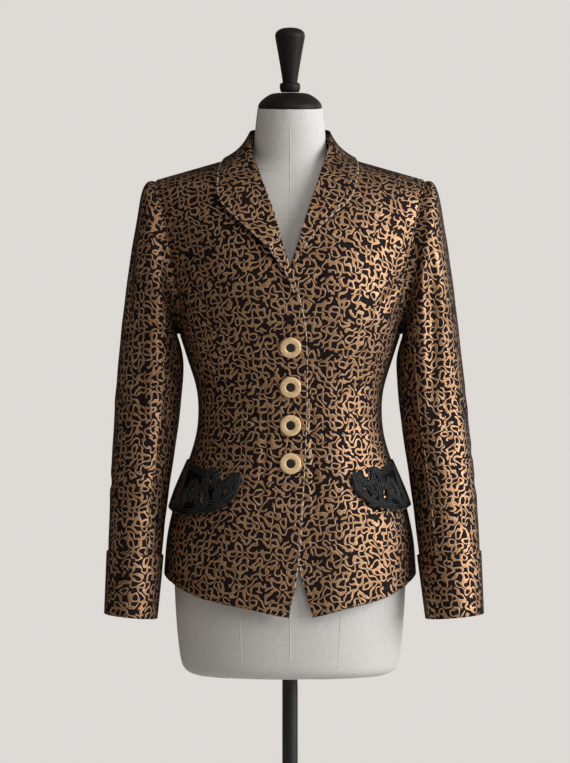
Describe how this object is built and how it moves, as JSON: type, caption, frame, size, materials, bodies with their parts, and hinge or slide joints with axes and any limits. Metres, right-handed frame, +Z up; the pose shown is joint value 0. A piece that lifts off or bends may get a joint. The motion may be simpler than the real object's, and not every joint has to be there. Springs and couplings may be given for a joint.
{
  "type": "blazer on a dress form",
  "caption": "Fitted brocade blazer with shawl-shaped collar, slanted lace-trimmed pocket flaps and turn-back cuffs, worn by a limbless linen dress form on a pole and disc base.",
  "frame": {"origin": "centre of the base disc's underside, on the floor", "axes": "+Z up, the blazer's front faces -Y, +X is the wearer's left"},
  "size_m": [0.5264, 0.38, 1.5241],
  "materials": {
    "brocade": "bronze and black vermicelli jacquard with a satin sheen",
    "lace": "matt black corded lace",
    "button_metal": "matt gold",
    "button_black": "black",
    "linen": "off-white linen",
    "black_wood": "satin black lacquer",
    "black_metal": "satin black"
  },
  "bodies": {
    "root": {"front_right": "brocade", "front_left": "brocade", "side_right": "brocade", "side_left": "brocade", "back_right": "brocade", "back_left": "brocade", "sleeve_upper_right": "brocade", "sleeve_upper_left": "brocade", "sleeve_under_right": "brocade", "sleeve_under_left": "brocade", "cuff_right": "brocade", "cuff_left": "brocade", "lapel_right": "brocade", "lapel_left": "brocade", "flap_right": "brocade", "flap_left": "brocade", "collar_fall": "brocade", "collar_stand": "brocade", "lace_right": "lace", "lace_left": "lace", "button_1": "button_metal", "button_centre_1": "button_black", "button_2": "button_metal", "button_centre_2": "button_black", "button_3": "button_metal", "button_centre_3": "button_black", "button_4": "button_metal", "button_centre_4": "button_black", "form_torso": "linen", "form_cap": "black_wood", "form_knob": "black_wood", "form_pole": "black_metal", "form_base": "black_metal"}
  },
  "joints": []
}
